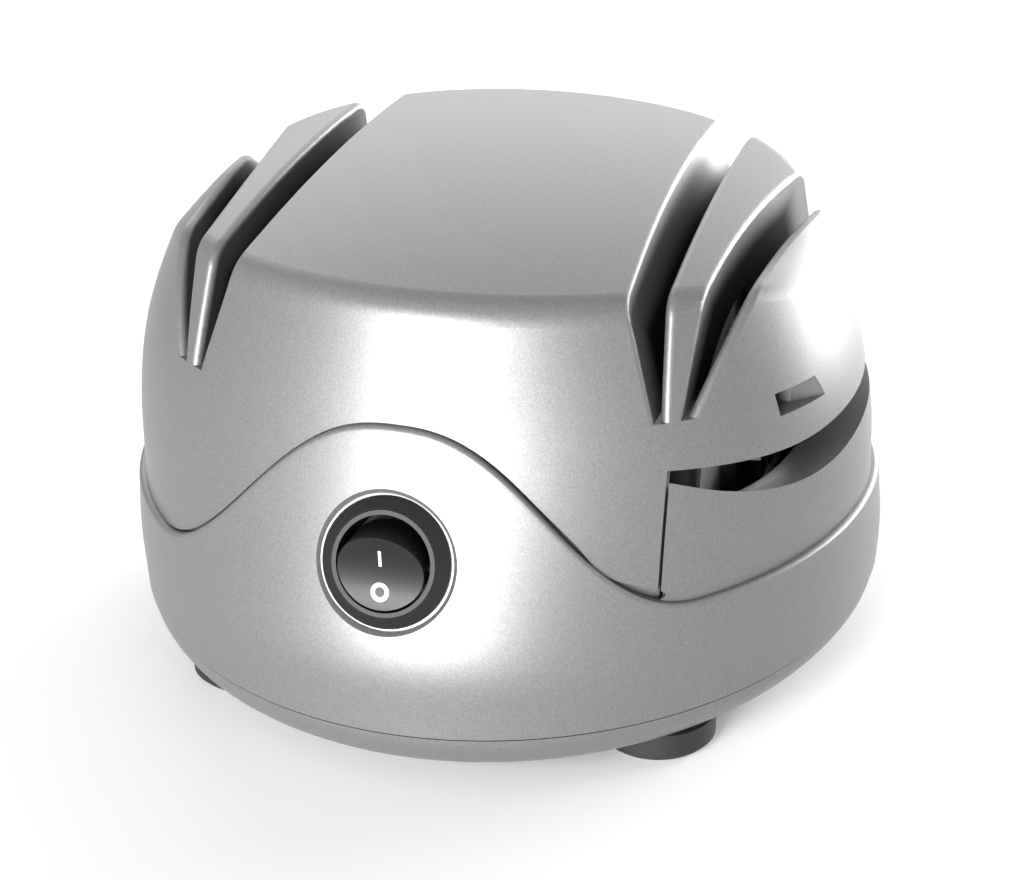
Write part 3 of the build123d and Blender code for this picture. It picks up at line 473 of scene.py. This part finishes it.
# ---- motor -----------------------------------------------------------------------------------------
# Universal mains motor: laminated stator with two coils, cast end brackets that hold the bearings, carbon
# brushes in phenolic holders, and a fan moulded in the switch's black nylon.
finish_with(black_nylon, "cooling_fan")
for name, colour, metallic, roughness, pieces in (
    # stacked sheet steel, oiled: dark with a dull sheen
    ("electrical_steel", "#5a5b5e", 0.9, 0.45, ("stator_core", "rotor_core")),
    # varnished copper wire: brown and half glossy
    ("enamelled_copper", "#8a4a1e", 0.8, 0.35, ("field_coils", "rotor_windings")),
    # as cast: pale and dull
    ("cast_aluminium", "#b9babc", 1.0, 0.45, (
        "motor_bracket_left", "motor_bracket_right", "wheel_hub_left", "wheel_hub_right",
    )),
    # plated or ground steel: bright with soft reflections
    ("zinc_plated_steel", "#c2c3c6", 1.0, 0.3, (
        "motor_shaft", "motor_screws", "mount_screws", "housing_screws", "brush_springs", "motor_mount",
        "wheel_washers", "wheel_nuts",
    )),
    # pressed and oiled: brown and dull
    ("sintered_bronze", "#8f6f45", 1.0, 0.5, ("bearing_left", "bearing_right")),
    # pressed carbon: nearly black and dull
    ("pressed_carbon", "#18181a", 0.0, 0.5, ("carbon_brushes",)),
    # moulded resin: dark brown with a faint shine
    ("phenolic", "#4a2412", 0.0, 0.45, ("brush_holders",)),
    # turned copper: red and bright
    ("turned_copper", "#c0764a", 1.0, 0.3, ("commutator",)),
):
    finish_with(surface(name, colour, metallic, roughness), *pieces)


# ---- grinding wheels -------------------------------------------------------------------------------
# Vitrified aluminium oxide, pressed and fired: matt grey grains, coarse at the left, fine at the right.
# Real grains are about 0.2 and 0.1 mm; they are drawn at 0.7 and 0.4 mm so that they show.
for name, grain in (("coarse_wheel", 0.0007), ("fine_wheel", 0.0004)):
    grit = surface(name.replace("wheel", "grit"), "#77777a", roughness=0.85)
    tree = grit.node_tree
    place = node(tree, "TexCoord").outputs["Object"]
    grains = node(tree, "TexNoise", {"Vector": place, "Scale": 1 / grain, "Detail": 3.0})
    tilt = node(tree, "Bump", {"Height": grains, "Strength": 0.6, "Distance": grain / 2})
    tree.links.new(tree.nodes["Principled BSDF"].inputs["Normal"], tilt.outputs["Normal"])
    finish_with(grit, name)


# ---- trays and wiring ------------------------------------------------------------------------------
# Moulded trays that stand in the base plate under the wheels; boxed film capacitor, terminal block and
# insulated wires between the cord's inlet, the switch and the motor. All are satin plastics.
for name, colour, roughness, pieces in (
    ("grey_abs", "#4c4c4e", 0.5, ("grit_tray_left", "grit_tray_right")),
    ("yellow_polyester_box", "#d8a81c", 0.35, ("suppression_capacitor",)),
    ("white_nylon", "#d8d8d2", 0.45, ("terminal_block",)),
    ("blue_pvc", "#1c3c78", 0.4, ("internal_wires",)),
):
    finish_with(surface(name, colour, roughness=roughness), *pieces)


# ---- floor -----------------------------------------------------------------------------------------
# White square just under the feet, far wider than the view, that keeps the shadow.
floor_half = 3.0
floor_height = -0.0002
ends = np.array([-floor_half, floor_half])
floor_x, floor_y = np.meshgrid(ends, ends)
floor_points = np.stack([floor_x.ravel(), floor_y.ravel(), np.full(4, floor_height)], axis=1)
floor_mesh = bpy.data.meshes.new("floor")
floor_mesh.from_pydata(floor_points.tolist(), [], [(0, 1, 3, 2)])
floor_mesh.materials.append(surface("pale_floor", "#ffffff", roughness=0.9))
floor = bpy.data.objects.new("floor", floor_mesh)
scene.collection.objects.link(floor)


# ---- room and lamps --------------------------------------------------------------------------------
# The room is white to the camera, in reflections and through glass, and otherwise gives only soft light.
# Four area lamps face the casing: two in front, one behind and above, one behind at the right.
room_light = 0.2
lamp_target = Vector((0.0, 0.0, 0.05))
world = bpy.data.worlds.new("soft_room")
scene.world = world
world.use_nodes = True
room = world.node_tree
rays = node(room, "LightPath").outputs
seen = node(room, "Math", (rays["Is Camera Ray"], rays["Is Glossy Ray"]), operation="MAXIMUM")
shown = node(room, "Math", (seen, rays["Is Transmission Ray"]), operation="MAXIMUM")
strength = node(room, "MapRange", {"Value": shown, "To Min": room_light, "To Max": 1.0})
room.links.new(room.nodes["Background"].inputs["Strength"], strength.outputs["Result"])
room.nodes["Background"].inputs["Color"].default_value = srgb("#ffffff")


def soft_box(name, at, width, height, power):
    """Area lamp at one point, facing the object, with its width level."""
    lamp = bpy.data.lights.new(name, "AREA")
    lamp.shape = "RECTANGLE"
    lamp.size = width
    lamp.size_y = height
    lamp.energy = power
    holder = bpy.data.objects.new(name, lamp)
    holder.location = at
    holder.rotation_euler = (lamp_target - Vector(at)).to_track_quat("-Z", "Y").to_euler()
    scene.collection.objects.link(holder)


soft_box("front_strip", (-0.22, -0.95, 0.31), 0.38, 0.56, 13.0)
soft_box("low_strip", (0.0, -1.0, 0.09), 0.60, 0.14, 15.0)
soft_box("back_box", (-0.2, 1.0, 0.62), 1.5, 0.9, 9.5)
soft_box("right_box", (0.64, 0.88, 0.14), 1.1, 0.5, 32.0)


# ---- camera ----------------------------------------------------------------------------------------
# Stands in front, to the right and above; its frame is a point and the directions of the picture's right
# and up, which are squared to each other.
camera_at = Vector((0.11888, -0.39023, 0.23042))
camera_right = Vector((0.95803, 0.28661, 0.0))
camera_up = Vector((-0.1213, 0.4054, 0.9060))
camera_back = camera_right.cross(camera_up).normalized()
camera_axes = Matrix((camera_right.normalized(), camera_back.cross(camera_right).normalized(), camera_back))
camera = bpy.data.objects.new("camera", bpy.data.cameras.new("camera"))
camera.data.sensor_width = 36.0
camera.data.lens = 77.34
camera.data.clip_start = 0.01
camera.matrix_world = Matrix.Translation(camera_at) @ camera_axes.transposed().to_4x4()
scene.collection.objects.link(camera)
scene.camera = camera
scene.view_settings.view_transform = "Standard"
